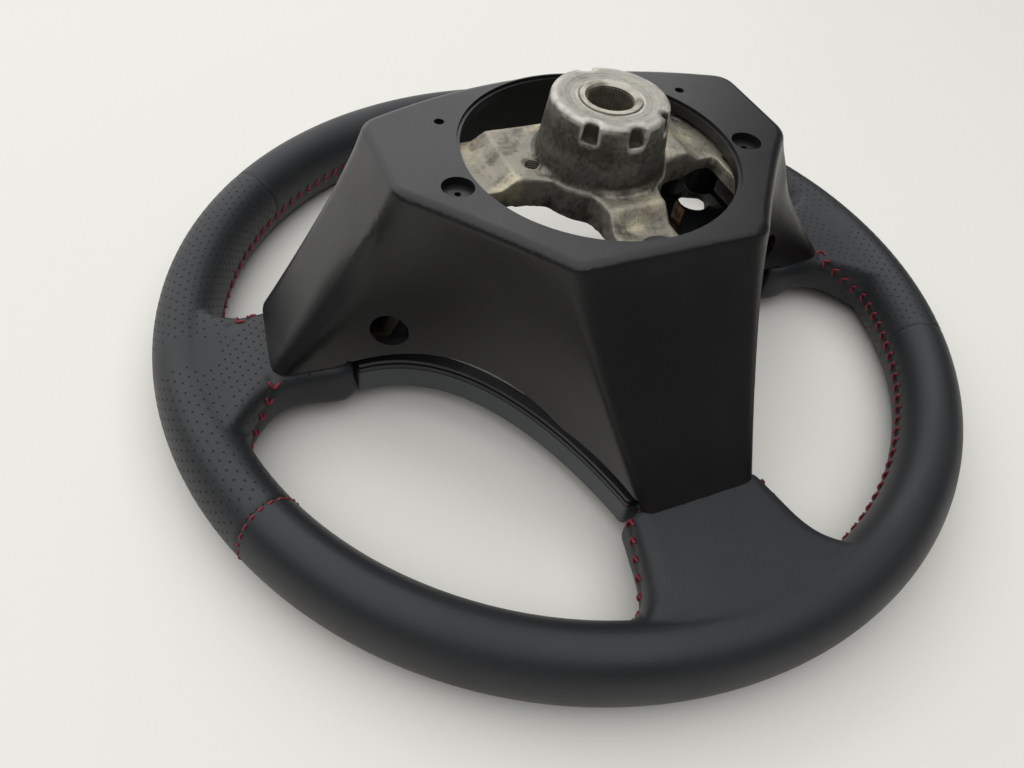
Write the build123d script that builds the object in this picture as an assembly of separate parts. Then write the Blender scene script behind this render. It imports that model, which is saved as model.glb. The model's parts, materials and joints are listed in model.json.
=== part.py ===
from build123d import *
import math
import os

# Car steering wheel without its pad module, lying face down.
# The origin is on the steering axis at the plane that the rim's front touches.
# +Z points to the back, towards the column, and +Y to twelve o'clock.

# Rim and leather
RIM_RADIUS = 171.5
RIM_HALF_WIDTH = 13.5
RIM_HALF_DEPTH = 17.3
LEATHER = 1.3
GLUE = 0.1
CORE_RADIUS = 4.5
CORE_WRAP = 3.5
UPPER_SEAM = 134.5
LOWER_SEAM = 65.0

# Spoke roots, the padded stretches between rim and cover
ROOT_FRONT = 8.0
ROOT_BACK = 30.0
ROOT_ROUND = 7.0
ROOT_BLEND = 3.0
SIDE_ROOT_END = 107.0
SIDE_ROOT_HIGH = 32.0
SIDE_ROOT_LOW = -14.0
LOWER_ROOT_END = 116.0
LOWER_ROOT_HALF = 30.0
ROOT_SEAT = 2.0
ROOT_SINK = 0.4
SIDE_ROOT_SHARES = (0.0, 0.336, 0.56, 0.736, 0.896, 1.0)
SIDE_ROOT_DROOP = (0.0, 0.5, 4.0, 15.0, 30.0, 36.0)
SIDE_ROOT_RISE = (0.0, -1.0, -2.0, 0.5, 10.0, 14.0)
LOWER_ROOT_SHARES = (0.0, 0.224, 0.486, 0.673, 0.841, 1.0)
LOWER_ROOT_SPREAD = (0.0, 2.5, 6.5, 14.0, 28.0, 20.0)

# Back cover
COVER_TOP = 107.5
COVER_GAP = 0.3
COVER_WALL = 2.6
COVER_EDGE_ROUND = 4.5
COVER_FLARE = 1.2
COVER_TOP_HALF = 86.0
COVER_LOBE_REACH = 140.0
COVER_ARCH = 58.0
COVER_ARCH_GROWTH = 10.0
COVER_FOOT = 62.5
COVER_FOOT_REACH = 119.5
SHOULDER = (41.0, 34.0)
SHOULDER_LEAN = 5.0
SHOULDER_ROUND = 8.0
RIDGE = (-6.0, -13.0)
RIDGE_ROUND = 5.0
FOOT_HALF = (39.5, 25.5)
FOOT_ROUND = 6.0
WAIST_BY_LOBE_X = (14.0, 72.0)
WAIST_BY_LOBE_Y = (-17.5, 3.0)
WAIST_BY_FOOT_X = (14.0, 7.0)
WAIST_BY_FOOT_Y = (17.5, 49.0)
COVER_LEVELS = 5
HUB_OPENING = 55.6
LIP_DEPTH = 5.5
LIP_WALL = 2.0
LIP_REBATE = 1.4
LIP_REBATE_DEPTH = 1.2
CUP_X = 63.5
CUP_Y = -10.0
CUP_RADIUS = 6.3
CUP_WALL = 2.0
CUP_DEPTH = 3.2
CUP_FLOOR = 3.8
PILOT_RADIUS = 1.3
PIN_X = 56.0
PIN_Y = 32.5
PIN_RADIUS = 2.1
ACCESS_X = 92.5
ACCESS_Z = 49.0
ACCESS_RADIUS = 7.2
ACCESS_DEPTH = 40.0
EDGE_RELIEF = 5.0
EDGE_ARCH_TOP = 41.0
EDGE_ARCH_RADIUS = 126.0
EDGE_ARCH_PLACE = (-77.8, -48.5)
EDGE_ARCH_TURN = 39.0
EDGE_ARCH_REACH = 80.0

# Front garnish and its frame
BEZEL_FRONT = 10.5
BEZEL_END = 105.0
BEZEL_HIGH = 33.0
BEZEL_LOW = -12.5
BEZEL_FOOT_HALF = 26.0
BEZEL_FOOT = 110.0
BEZEL_END_ROUND = 4.0
BEZEL_CORNER_ROUND = 2.0
BEZEL_WAIST_BY_END = (44.0, 1.0)
BEZEL_WAIST_BY_FOOT = (10.0, 46.0)
GARNISH_WALL = 2.2
GARNISH_HEIGHT = 10.8
BEZEL_CLEARANCE = 0.2
FRAME_WALL = 2.2
BEAD_TOP = 26.5
BEAD_DEPTH = 4.2
GROOVE_WIDTH = 1.2
EDGE_GAP = 6.5
PAD_HALF = 72.0
PAD_FOOT_HALF = 18.0
PAD_FOOT = 62.0
PAD_ROUND = 16.0
PAD_SHOULDER = 0.0
FRAME_SETBACK = 1.0
GROOVE_PLACE = 0.42

# Armature
HUB_TOP = 129.7
HUB_RADIUS = 22.9
HUB_DRAFT = 2.2
HUB_FOOT = 27.5
HUB_FOOT_RISE = 7.0
HUB_UNDERSIDE = 90.0
HUB_CHAMFER = 0.8
HUB_GROOVE = (12.4, 17.8)
HUB_GROOVE_DEPTH = 0.5
NOTCH_ANGLES = (90, -45, -90, -135)
NOTCH_RADIUS = 3.0
NOTCH_DEPTH = 7.5
PLATE_TOP = 104.0
PLATE_BOTTOM = 91.0
ARM_STEP = 4.0
ARM_STEP_START = 38.0
ARM_STEP_RUN = 6.0
ARM_SLOPE_START = 74.0
ARM_HIGH = 28.0
ARM_LOW = -7.0
ARM_MIDDLE = 8.0
ARM_END_HALF = 10.0
ARM_DEPTH = 6.0
ARM_LEAN = 7.0
ARM_END_DEPTH = 9.0
RIB_X = 52.3
RIB_WIDTH = 3.5
RIB_END = -30.0
RIB_DEPTH = 7.0
NECK_COVER = 2.0
NECK_RUN = 12.0
ARM_HALF_SPACE = 60.0
WINDOW_RADIUS = 26.0
LOWER_ARM_HALF = 12.5
LOWER_ARM_SWELL = 3.0
LOWER_ARM_END_HALF = 9.0
LOWER_ARM_STEP = 6.0
LOWER_ARM_STEP_START = 33.0
LOWER_ARM_SLOPE_START = 63.0
LOWER_ARM_DEPTH = 6.0
SEAT_TOP = 32.0
SEAT_BOTTOM = 24.0
SCREW_REACH = 96.5
BUSH_OUTER = 12.0
BORE_RADIUS = 9.2
THREAD_X = 28.5
THREAD_Y = 2.0
THREAD_RADIUS = 3.0

# Small pieces
GUIDE_X = 65.0
GUIDE_Y = 11.0
GUIDE_LOWER_Y = -54.5
GUIDE_RADIUS = 7.2
GUIDE_FLANGE = 8.4
GUIDE_FLANGE_DEPTH = 1.6
GUIDE_BORE = 4.0
GUIDE_LENGTH = 30.0
FIT = 0.15
SCREW_SHANK = 2.0
SCREW_HEAD = 4.0
SCREW_HEAD_DEPTH = 2.6
SCREW_LENGTH = 16.0
SCREW_SOCKET = 1.6
BOSS_RADIUS = 5.0
CARRIER_START = 43.0
CARRIER_END = 73.0
CARRIER_LOW = -12.0
CARRIER_LEG_X = 44.0
CARRIER_LEG_Y = 15.0
CARRIER_LEG_WIDTH = 12.0
CARRIER_TOP = 62.0
CARRIER_WALL = 3.0
CARRIER_FOOT = 10.5
CARRIER_TAB = 6.0
BLADE_WIDTH = 7.5
BLADE_HEIGHT = 11.0
BLADE_THICK = 0.8
BLADE_FOOT = 3.6
BLADE_X = 46.0
BLADE_Y = -2.8
CONTACT_SHANK = 1.5
CONTACT_HEAD = 3.0
CONTACT_HEAD_DEPTH = 2.2
CONTACT_GRIP = 5.0

# Overlap of a cutting form with what it cuts, and a height above everything
MARGIN = 1.0
TALL = 400.0


def mirrored(half):
    """Close a left half outline, top to bottom, with its mirror image on the right."""
    right = [(-x, y, setback) for x, y, setback in reversed(half) if x != 0]
    return half + right


def inset_points(points, inset):
    """Move every point of a closed outline, run anticlockwise, inwards by a mitred inset."""
    moved = []
    for i, (x, y, setback) in enumerate(points):
        here = Vector(x, y)
        before = (here - Vector(*points[i - 1][:2])).normalized()
        after = (Vector(*points[(i + 1) % len(points)][:2]) - here).normalized()
        normal_in = Vector(-before.Y, before.X)
        normal_out = Vector(-after.Y, after.X)
        shift = (normal_in + normal_out) * (inset / (1 + normal_in.dot(normal_out)))
        moved.append((x + shift.X, y + shift.Y, setback))
    return moved


def outline(points, z=0.0):
    """Wire of a closed control outline: a setback rounds a corner, None bends a side."""
    corners = [i for i, point in enumerate(points) if point[2] is not None]
    count = len(points)
    here = [Vector(x, y, z) for x, y, _ in points]

    def beside(i, step):
        towards = here[(i + step) % count] - here[i]
        return here[i] + towards.normalized() * points[i][2]

    edges = []
    for place, i in enumerate(corners):
        following = corners[(place + 1) % len(corners)]
        edges.append(Edge.make_bezier(beside(i, -1), here[i], beside(i, 1)))
        bends = []
        step = (i + 1) % count
        while step != following:
            bends.append(here[step])
            step = (step + 1) % count
        start, end = beside(i, 1), beside(following, -1)
        if bends:
            edges.append(Edge.make_bezier(start, *bends, end))
        else:
            edges.append(Edge.make_line(start, end))
    return Wire(edges)


def plate(points, bottom, top):
    """Prism of a closed control outline between two heights."""
    return Solid.extrude(Face(outline(points, bottom)), Vector(0, 0, top - bottom))


def rod(x, y, bottom, top, radius):
    """Upright cylinder between two heights."""
    return Pos(x, y, (bottom + top) / 2) * Cylinder(radius, top - bottom)


def between(start, end, share):
    """Value a share of the way from start to end."""
    return start + (end - start) * share


def block(x_range, y_range, z_range):
    """Box between two corners, given as a range on each axis."""
    size = [high - low for low, high in (x_range, y_range, z_range)]
    middle = [(high + low) / 2 for low, high in (x_range, y_range, z_range)]
    return Pos(*middle) * Box(*size)


def prism(points, plane, half):
    """Extrusion of a polygon, drawn on a plane, by the same half length both ways."""
    return extrude(plane * make_face(Polyline(*points, close=True)), amount=half, both=True)


# Back cover

COVER_BOTTOM = ROOT_BACK + COVER_GAP


def cover_outline(z, inset):
    """Plan of the cover at a height: a shield at the top that flares into three lobes below."""
    depth = (COVER_TOP - z) / (COVER_TOP - COVER_BOTTOM)
    flare = depth**COVER_FLARE
    half = between(COVER_TOP_HALF, COVER_LOBE_REACH, flare)
    foot_y = -between(COVER_FOOT, COVER_FOOT_REACH, flare)
    foot_half = between(*FOOT_HALF, flare)
    arch = COVER_ARCH + COVER_ARCH_GROWTH * flare
    shoulder = between(*SHOULDER, flare)
    ridge = between(*RIDGE, flare)
    by_lobe = (between(*WAIST_BY_LOBE_X, flare), between(*WAIST_BY_LOBE_Y, flare))
    by_foot = (between(*WAIST_BY_FOOT_X, flare), between(*WAIST_BY_FOOT_Y, flare))
    half_outline = [
        (0.0, 2 * arch - shoulder, None),
        (-half + SHOULDER_LEAN * flare, shoulder, SHOULDER_ROUND),
        (-half, ridge, RIDGE_ROUND),
        (-half + by_lobe[0], ridge + by_lobe[1], None),
        (-foot_half - by_foot[0], foot_y + by_foot[1], None),
        (-foot_half, foot_y, FOOT_ROUND),
    ]
    return inset_points(mirrored(half_outline), inset)


def cover_form(bottom, top, inset):
    """Solid form of the cover between two heights, lofted through evenly spaced plans."""
    steps = COVER_LEVELS - 1
    levels = [between(top, bottom, step / steps) for step in range(COVER_LEVELS)]
    return Solid.make_loft([outline(cover_outline(z, inset), z) for z in levels])


def edge_arch():
    """Level drum that arches the cover's lower edge along its left waist."""
    drum = Rot(0, 90, 0) * Cylinder(EDGE_ARCH_RADIUS, EDGE_ARCH_REACH)
    return Pos(*EDGE_ARCH_PLACE, EDGE_ARCH_TOP - EDGE_ARCH_RADIUS) * Rot(0, 0, EDGE_ARCH_TURN) * drum


def back_cover():
    """Moulded shell with the hub opening, screw cups, pin holes and two access holes."""
    outside = cover_form(COVER_BOTTOM, COVER_TOP, 0.0)
    rim_edges = outside.faces().sort_by(Axis.Z)[-1].edges()
    outside = outside.fillet(COVER_EDGE_ROUND, rim_edges)
    shell = outside - cover_form(COVER_BOTTOM - MARGIN, COVER_TOP - COVER_WALL, COVER_WALL)
    shell = shell + rod(0, 0, COVER_TOP - LIP_DEPTH, COVER_TOP, HUB_OPENING + LIP_WALL)
    shell = shell - rod(0, 0, COVER_TOP - 2 * LIP_DEPTH, TALL, HUB_OPENING)
    shell = shell - rod(0, 0, COVER_TOP - LIP_REBATE_DEPTH, TALL, HUB_OPENING + LIP_REBATE)
    cup_floor = COVER_TOP - CUP_DEPTH
    drill = Rot(90, 0, 0) * Cylinder(ACCESS_RADIUS, ACCESS_DEPTH)
    for side in (-1, 1):
        cup_x = side * CUP_X
        shell = shell + rod(cup_x, CUP_Y, cup_floor - CUP_FLOOR, COVER_TOP - MARGIN, CUP_RADIUS + CUP_WALL)
        shell = shell - rod(cup_x, CUP_Y, cup_floor, TALL, CUP_RADIUS)
        shell = shell - rod(cup_x, CUP_Y, cup_floor - 2 * CUP_FLOOR, TALL, PILOT_RADIUS)
        shell = shell - rod(side * PIN_X, PIN_Y, COVER_TOP - 2 * COVER_WALL, TALL, PIN_RADIUS)
        shell = shell - Pos(side * ACCESS_X, BEZEL_LOW - ACCESS_DEPTH / 4, ACCESS_Z) * drill
    shell = shell - edge_arch() - mirror(edge_arch(), Plane.YZ)
    return shell - plate(inset_points(bezel_outline(), -EDGE_RELIEF), 0, BEAD_TOP + EDGE_GAP)


# Front garnish and frame

FRAME_FLOOR = BEZEL_FRONT + GARNISH_WALL + BEZEL_CLEARANCE
BEAD_BOTTOM = BEZEL_FRONT + GARNISH_HEIGHT + BEZEL_CLEARANCE


def bezel_outline():
    """Plan of the garnish: two spoke ends and a foot, joined by the curves of the cover's edge."""
    return mirrored([
        (-BEZEL_END, BEZEL_HIGH, BEZEL_END_ROUND),
        (-BEZEL_END, BEZEL_LOW, BEZEL_CORNER_ROUND),
        (-BEZEL_END + BEZEL_WAIST_BY_END[0], BEZEL_LOW + BEZEL_WAIST_BY_END[1], None),
        (-BEZEL_FOOT_HALF - BEZEL_WAIST_BY_FOOT[0], -BEZEL_FOOT + BEZEL_WAIST_BY_FOOT[1], None),
        (-BEZEL_FOOT_HALF, -BEZEL_FOOT, BEZEL_CORNER_ROUND),
    ])


def pad_opening():
    """Plan of the opening for the pad module, which runs out past twelve o'clock."""
    return mirrored([
        (-PAD_HALF, 2 * BEZEL_HIGH, BEZEL_CORNER_ROUND),
        (-PAD_HALF, PAD_SHOULDER, PAD_ROUND),
        (-PAD_FOOT_HALF, -PAD_FOOT, PAD_ROUND),
    ])


def bezel_plate(inset, bottom, top):
    """Prism of the garnish's plan, inset, between two heights."""
    return plate(inset_points(bezel_outline(), inset), bottom, top)


def pad_space(setback):
    """Space of the pad module, widened by a setback."""
    return plate(inset_points(pad_opening(), -setback), 0, TALL)


def bezel_garnish():
    """Front garnish: a flat front with a wall round its outer edge."""
    body = bezel_plate(0.0, BEZEL_FRONT, BEZEL_FRONT + GARNISH_HEIGHT)
    body = body - bezel_plate(GARNISH_WALL, BEZEL_FRONT + GARNISH_WALL, TALL)
    return body - pad_space(0.0)


def screw_places():
    """Plan positions of the three bezel screws."""
    return [(-SCREW_REACH, ARM_MIDDLE), (SCREW_REACH, ARM_MIDDLE), (0.0, -SCREW_REACH)]


def bezel_frame():
    """Carrier inside the garnish: floor, wall, double bead and three screw bosses."""
    step = GARNISH_WALL + BEZEL_CLEARANCE
    body = bezel_plate(step, FRAME_FLOOR, BEAD_TOP)
    body = body - bezel_plate(step + FRAME_WALL, FRAME_FLOOR + FRAME_WALL, TALL)
    bead = bezel_plate(BEZEL_CLEARANCE, BEAD_BOTTOM, BEAD_TOP)
    bead = bead - bezel_plate(BEAD_DEPTH, 0, TALL)
    groove_z = between(BEAD_BOTTOM, BEAD_TOP, GROOVE_PLACE)
    groove = bezel_plate(-GROOVE_WIDTH, groove_z, groove_z + GROOVE_WIDTH)
    groove = groove - bezel_plate(BEZEL_CLEARANCE + GROOVE_WIDTH, 0, TALL)
    body = body + bead - groove - pad_space(FRAME_SETBACK)
    arm_space = (SEAT_BOTTOM - 2 * FRAME_WALL, TALL)
    for side in (-1, 1):
        reach = sorted((side * PAD_HALF, side * 2 * BEZEL_END))
        half = ARM_END_HALF + FRAME_WALL
        body = body - block(reach, (ARM_MIDDLE - half, ARM_MIDDLE + half), arm_space)
    half = LOWER_ARM_HALF + FRAME_WALL
    body = body - block((-half, half), (-2 * BEZEL_FOOT, -PAD_FOOT), arm_space)
    for x, y in screw_places():
        body = body + rod(x, y, FRAME_FLOOR, SEAT_BOTTOM, BOSS_RADIUS)
        body = body - rod(x, y, FRAME_FLOOR + FRAME_WALL, TALL, SCREW_SHANK + FIT)
    return body


def screw(x, y, seat, head_down, shank, head, head_depth, length):
    """Pan-head screw on a flat seat, with a round driver recess."""
    towards = -1 if head_down else 1
    head_end = seat + towards * head_depth
    tip = seat - towards * length
    recess_floor = head_end - towards * head_depth / 2
    body = rod(x, y, *sorted((seat, head_end)), head)
    body = body + rod(x, y, *sorted((seat, tip)), shank)
    return body - rod(x, y, *sorted((head_end, recess_floor)), SCREW_SOCKET)


def bezel_screws():
    """Three screws that hold the frame's bosses to the arms."""
    sizes = (SCREW_SHANK, SCREW_HEAD, SCREW_HEAD_DEPTH, SCREW_LENGTH)
    return Compound(children=[screw(x, y, SEAT_TOP, False, *sizes) for x, y in screw_places()])


# Armature


def hub_form():
    """Turned form of the hub: drafted boss with a flared foot."""
    drafted = HUB_RADIUS + HUB_DRAFT
    flare_end = (drafted, PLATE_TOP + HUB_FOOT_RISE)
    below = Polyline(
        (0, HUB_UNDERSIDE),
        (HUB_RADIUS, HUB_UNDERSIDE),
        (HUB_FOOT, PLATE_BOTTOM),
        (HUB_FOOT, PLATE_TOP),
    )
    flare = Bezier((HUB_FOOT, PLATE_TOP), (drafted, PLATE_TOP), flare_end)
    above = Polyline(
        flare_end,
        (HUB_RADIUS, HUB_TOP - HUB_CHAMFER),
        (HUB_RADIUS - HUB_CHAMFER, HUB_TOP),
        (0, HUB_TOP),
        (0, HUB_UNDERSIDE),
    )
    face = make_face([*below.edges(), *flare.edges(), *above.edges()])
    return revolve(Plane.XZ * face, Axis.Z)


def arm_side_view(step, step_start, slope_start, depth, bezel_end, root_end):
    """Side view of an arm from the axis outwards: plateau, step, slope, screw seat and neck."""
    plateau = PLATE_TOP - step
    step_end = step_start + ARM_STEP_RUN
    core_top = RIM_HALF_DEPTH + ARM_END_DEPTH / 2
    core_bottom = RIM_HALF_DEPTH - ARM_END_DEPTH / 2
    return [
        (0, PLATE_TOP),
        (step_start, PLATE_TOP),
        (step_end, plateau),
        (slope_start, plateau),
        (SCREW_REACH - BOSS_RADIUS, SEAT_TOP),
        (SCREW_REACH + BOSS_RADIUS, SEAT_TOP),
        (root_end, ROOT_BACK - NECK_COVER),
        (root_end + NECK_RUN, core_top),
        (RIM_RADIUS, core_top),
        (RIM_RADIUS, core_bottom),
        (root_end + NECK_RUN, core_bottom),
        (bezel_end + MARGIN, SEAT_BOTTOM),
        (SCREW_REACH - BOSS_RADIUS - MARGIN, SEAT_BOTTOM),
        (slope_start - ARM_LEAN, plateau - depth),
        (step_end, plateau - depth),
        (step_start, PLATE_BOTTOM),
        (0, PLATE_BOTTOM),
    ]


def side_arm():
    """Right arm: its plan cut out of its side view."""
    lug_low = CUP_Y - CUP_RADIUS - CUP_WALL
    end_high = ARM_MIDDLE + ARM_END_HALF
    end_low = ARM_MIDDLE - ARM_END_HALF
    plan = [
        (0, ARM_HIGH),
        (ARM_SLOPE_START, ARM_HIGH),
        (SCREW_REACH - BOSS_RADIUS, end_high),
        (RIM_RADIUS, end_high),
        (RIM_RADIUS, end_low),
        (SCREW_REACH - BOSS_RADIUS, end_low),
        (CUP_X + CUP_RADIUS, lug_low),
        (CUP_X - CUP_RADIUS / 2, lug_low),
        (CUP_X - CUP_RADIUS / 2, ARM_LOW),
        (0, ARM_LOW),
    ]
    view = arm_side_view(ARM_STEP, ARM_STEP_START, ARM_SLOPE_START, ARM_DEPTH, BEZEL_END, SIDE_ROOT_END)
    return prism(plan, Plane.XY, TALL) & prism(view, Plane.XZ, ARM_HALF_SPACE)


def lower_arm():
    """Lower arm, with a swell round its guide bush."""
    swell = LOWER_ARM_HALF + LOWER_ARM_SWELL
    right_plan = [
        (LOWER_ARM_HALF, 0),
        (LOWER_ARM_HALF, GUIDE_LOWER_Y + GUIDE_FLANGE),
        (swell, GUIDE_LOWER_Y),
        (LOWER_ARM_HALF, -SCREW_REACH),
        (LOWER_ARM_END_HALF, -RIM_RADIUS),
    ]
    plan = right_plan + [(-x, y) for x, y in reversed(right_plan)]
    view = arm_side_view(
        LOWER_ARM_STEP,
        LOWER_ARM_STEP_START,
        LOWER_ARM_SLOPE_START,
        LOWER_ARM_DEPTH,
        BEZEL_FOOT,
        LOWER_ROOT_END,
    )
    outwards = [(-reach, z) for reach, z in view]
    return prism(plan, Plane.XY, TALL) & prism(outwards, Plane.YZ, ARM_HALF_SPACE)


def window_web(side):
    """Round inner corner of the window between a side arm and the lower arm."""
    x_range = sorted((side * LOWER_ARM_HALF, side * (LOWER_ARM_HALF + WINDOW_RADIUS)))
    web = block(x_range, (ARM_LOW - WINDOW_RADIUS, ARM_LOW), (PLATE_BOTTOM, PLATE_TOP))
    middle = (side * (LOWER_ARM_HALF + WINDOW_RADIUS), ARM_LOW - WINDOW_RADIUS)
    return web - rod(*middle, 0, TALL, WINDOW_RADIUS)


def guide_places():
    """Plan positions of the guide bushes and the height that each flange sits on."""
    side_seat = PLATE_TOP - ARM_STEP
    return {
        "left": (-GUIDE_X, GUIDE_Y, side_seat),
        "right": (GUIDE_X, GUIDE_Y, side_seat),
        "lower": (0.0, GUIDE_LOWER_Y, PLATE_TOP - LOWER_ARM_STEP),
    }


def rim_core():
    """Steel ring inside the rim."""
    return Pos(0, 0, RIM_HALF_DEPTH) * Torus(RIM_RADIUS, CORE_RADIUS)


def core_socket(y, half):
    """Block at the end of the right arm that is cast round the rim core."""
    wrap = CORE_RADIUS + CORE_WRAP
    z_range = (RIM_HALF_DEPTH - wrap, RIM_HALF_DEPTH + wrap)
    return block((RIM_RADIUS - wrap, RIM_RADIUS + wrap), (y - half, y + half), z_range)


def arm_rib():
    """Rib that runs down from the right arm beside the window."""
    top = PLATE_TOP - ARM_STEP
    return block((RIB_X, RIB_X + RIB_WIDTH), (RIB_END, ARM_LOW + MARGIN), (top - RIB_DEPTH, top))


def armature():
    """One casting: hub boss, side arms and lower arm, with the rim core cast into their ends."""
    arm = side_arm() + core_socket(ARM_MIDDLE, ARM_END_HALF) + arm_rib()
    casting = hub_form() + arm + mirror(arm, Plane.YZ) + lower_arm()
    casting = casting + Rot(0, 0, -90) * core_socket(0, LOWER_ARM_END_HALF)
    casting = casting + window_web(-1) + window_web(1)
    casting = casting - rim_core()
    casting = casting - rod(0, 0, 0, TALL, BUSH_OUTER)
    groove_floor = HUB_TOP - HUB_GROOVE_DEPTH
    groove = rod(0, 0, groove_floor, TALL, HUB_GROOVE[1]) - rod(0, 0, 0, TALL, HUB_GROOVE[0])
    casting = casting - groove
    notch = rod(HUB_RADIUS, 0, HUB_TOP - NOTCH_DEPTH, TALL, NOTCH_RADIUS)
    for angle in NOTCH_ANGLES:
        casting = casting - Rot(0, 0, angle) * notch
    for side in (-1, 1):
        casting = casting - rod(side * THREAD_X, THREAD_Y, 0, TALL, THREAD_RADIUS)
    for x, y, _ in guide_places().values():
        casting = casting - rod(x, y, SEAT_TOP, TALL, GUIDE_RADIUS + FIT)
    for x, y in screw_places():
        casting = casting - rod(x, y, 0, TALL, SCREW_SHANK + FIT)
    return casting - rod(*contact_screw_place(), SEAT_TOP, TALL, CONTACT_SHANK + FIT)


def splined_bush():
    """Steel bush cast into the hub."""
    bush = rod(0, 0, HUB_UNDERSIDE, HUB_TOP, BUSH_OUTER) - rod(0, 0, 0, TALL, BORE_RADIUS)
    mouth = bush.edges().filter_by(GeomType.CIRCLE).group_by(SortBy.RADIUS)[0]
    return chamfer(mouth, HUB_CHAMFER)


def guide_bush(x, y, seat):
    """Plastic bush that hangs in an arm by its flange and guides a pin of the pad module."""
    body = rod(x, y, seat - GUIDE_LENGTH, seat, GUIDE_RADIUS)
    tip = body.edges().group_by(Axis.Z)[0]
    body = fillet(tip, (GUIDE_RADIUS - GUIDE_BORE) / 2)
    body = body + rod(x, y, seat, seat + GUIDE_FLANGE_DEPTH, GUIDE_FLANGE)
    return body - rod(x, y, 0, TALL, GUIDE_BORE)


# Contact below the right arm

CARRIER_SEAT = PLATE_TOP - ARM_STEP - ARM_DEPTH


def contact_screw_place():
    """Plan position of the carrier's screw, in the middle of its foot."""
    return (CARRIER_LEG_X + CARRIER_LEG_WIDTH / 2, CARRIER_LEG_Y + (CARRIER_WALL + CARRIER_FOOT) / 2)


def contact_carrier():
    """Plastic carrier: a foot under the arm, a leg and a shelf that the guide's pin passes through."""
    leg_x = (CARRIER_LEG_X, CARRIER_LEG_X + CARRIER_LEG_WIDTH)
    leg_back = CARRIER_LEG_Y + CARRIER_WALL
    shelf_y = (CARRIER_LOW, leg_back)
    shelf_z = (CARRIER_TOP - CARRIER_WALL, CARRIER_TOP)
    tab_x = (CARRIER_END - CARRIER_WALL, CARRIER_END)
    foot_y = (CARRIER_LEG_Y, CARRIER_LEG_Y + CARRIER_FOOT)
    body = block(leg_x, foot_y, (CARRIER_SEAT - CARRIER_WALL, CARRIER_SEAT))
    body = body + block(leg_x, (CARRIER_LEG_Y, leg_back), (shelf_z[0], CARRIER_SEAT))
    body = body + block((CARRIER_START, CARRIER_END), shelf_y, shelf_z)
    body = body + block(tab_x, shelf_y, (shelf_z[0], CARRIER_TOP + CARRIER_TAB))
    body = body - rod(*contact_screw_place(), CARRIER_TOP + CARRIER_TAB, TALL, CONTACT_SHANK + FIT)
    return body - rod(GUIDE_X, GUIDE_Y, 0, CARRIER_TOP + MARGIN, GUIDE_RADIUS)


def contact_blade():
    """Copper blade bent up from a foot on the carrier's shelf."""
    depth = (BLADE_Y - BLADE_WIDTH / 2, BLADE_Y + BLADE_WIDTH / 2)
    blade = block((BLADE_X, BLADE_X + BLADE_THICK), depth, (CARRIER_TOP, CARRIER_TOP + BLADE_HEIGHT))
    foot = block((BLADE_X - BLADE_FOOT, BLADE_X), depth, (CARRIER_TOP, CARRIER_TOP + BLADE_THICK))
    return blade + foot


def contact_screw():
    """Screw that holds the carrier's foot up against the arm."""
    sizes = (CONTACT_SHANK, CONTACT_HEAD, CONTACT_HEAD_DEPTH, CARRIER_WALL + CONTACT_GRIP)
    return screw(*contact_screw_place(), CARRIER_SEAT - CARRIER_WALL, True, *sizes)


# Padding and leather


def root_section(low, high, share, inset):
    """Rounded slab section of a spoke root, which swells to the rim's depth in its outer half."""
    swell = max(0.0, 2 * share - 1) ** 2
    front = between(ROOT_FRONT, ROOT_SINK, swell) + inset
    back = between(ROOT_BACK, 2 * RIM_HALF_DEPTH - ROOT_SINK, swell) - inset
    rounding = ROOT_ROUND + ROOT_BLEND * share - inset
    return outline([
        (low + inset, back, rounding),
        (low + inset, front, rounding),
        (high - inset, front, rounding),
        (high - inset, back, rounding),
    ])


def side_root(inset):
    """Padded root of the left spoke, which widens into the rim."""
    sections = []
    for share, droop, rise in zip(SIDE_ROOT_SHARES, SIDE_ROOT_DROOP, SIDE_ROOT_RISE):
        x = max(SIDE_ROOT_END + inset, between(SIDE_ROOT_END, RIM_RADIUS - ROOT_SEAT, share))
        plane = Plane(origin=(-x, 0, 0), x_dir=(0, 1, 0), z_dir=(1, 0, 0))
        sections.append(plane * root_section(SIDE_ROOT_LOW - droop, SIDE_ROOT_HIGH + rise, share, inset))
    return Solid.make_loft(sections)


def lower_root(inset):
    """Padded root of the lower spoke."""
    sections = []
    for share, spread in zip(LOWER_ROOT_SHARES, LOWER_ROOT_SPREAD):
        y = max(LOWER_ROOT_END + inset, between(LOWER_ROOT_END, RIM_RADIUS - ROOT_SEAT, share))
        half = LOWER_ROOT_HALF + spread
        plane = Plane(origin=(0, -y, 0), x_dir=(1, 0, 0), z_dir=(0, -1, 0))
        sections.append(plane * root_section(-half, half, share, inset))
    return Solid.make_loft(sections)


def padded_form(inset):
    """Outer form of rim and spoke roots, inset by a thickness."""
    section = Ellipse(RIM_HALF_WIDTH - inset, RIM_HALF_DEPTH - inset)
    ring = revolve(Plane.XZ * Pos(RIM_RADIUS, RIM_HALF_DEPTH) * section, Axis.Z)
    root = side_root(inset)
    return ring + root + mirror(root, Plane.YZ) + lower_root(inset)


def sector(start, end):
    """Wedge of space round the steering axis between two polar angles in degrees."""
    points = [(0.0, 0.0)]
    for angle in (start, (start + end) / 2, end):
        points.append((TALL * math.cos(math.radians(angle)), TALL * math.sin(math.radians(angle))))
    return prism(points, Plane.XY, TALL)


def leather_panels(leather):
    """Four leather panels, cut at the seams, with angles counted from six o'clock."""
    six = -90.0
    spans = {
        "leather_bottom": (six - LOWER_SEAM, six + LOWER_SEAM),
        "leather_right_grip": (six + LOWER_SEAM, six + UPPER_SEAM),
        "leather_top": (six + UPPER_SEAM, six + 360 - UPPER_SEAM),
        "leather_left_grip": (six - UPPER_SEAM, six - LOWER_SEAM),
    }
    return {name: leather & sector(*span) for name, span in spans.items()}


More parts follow.
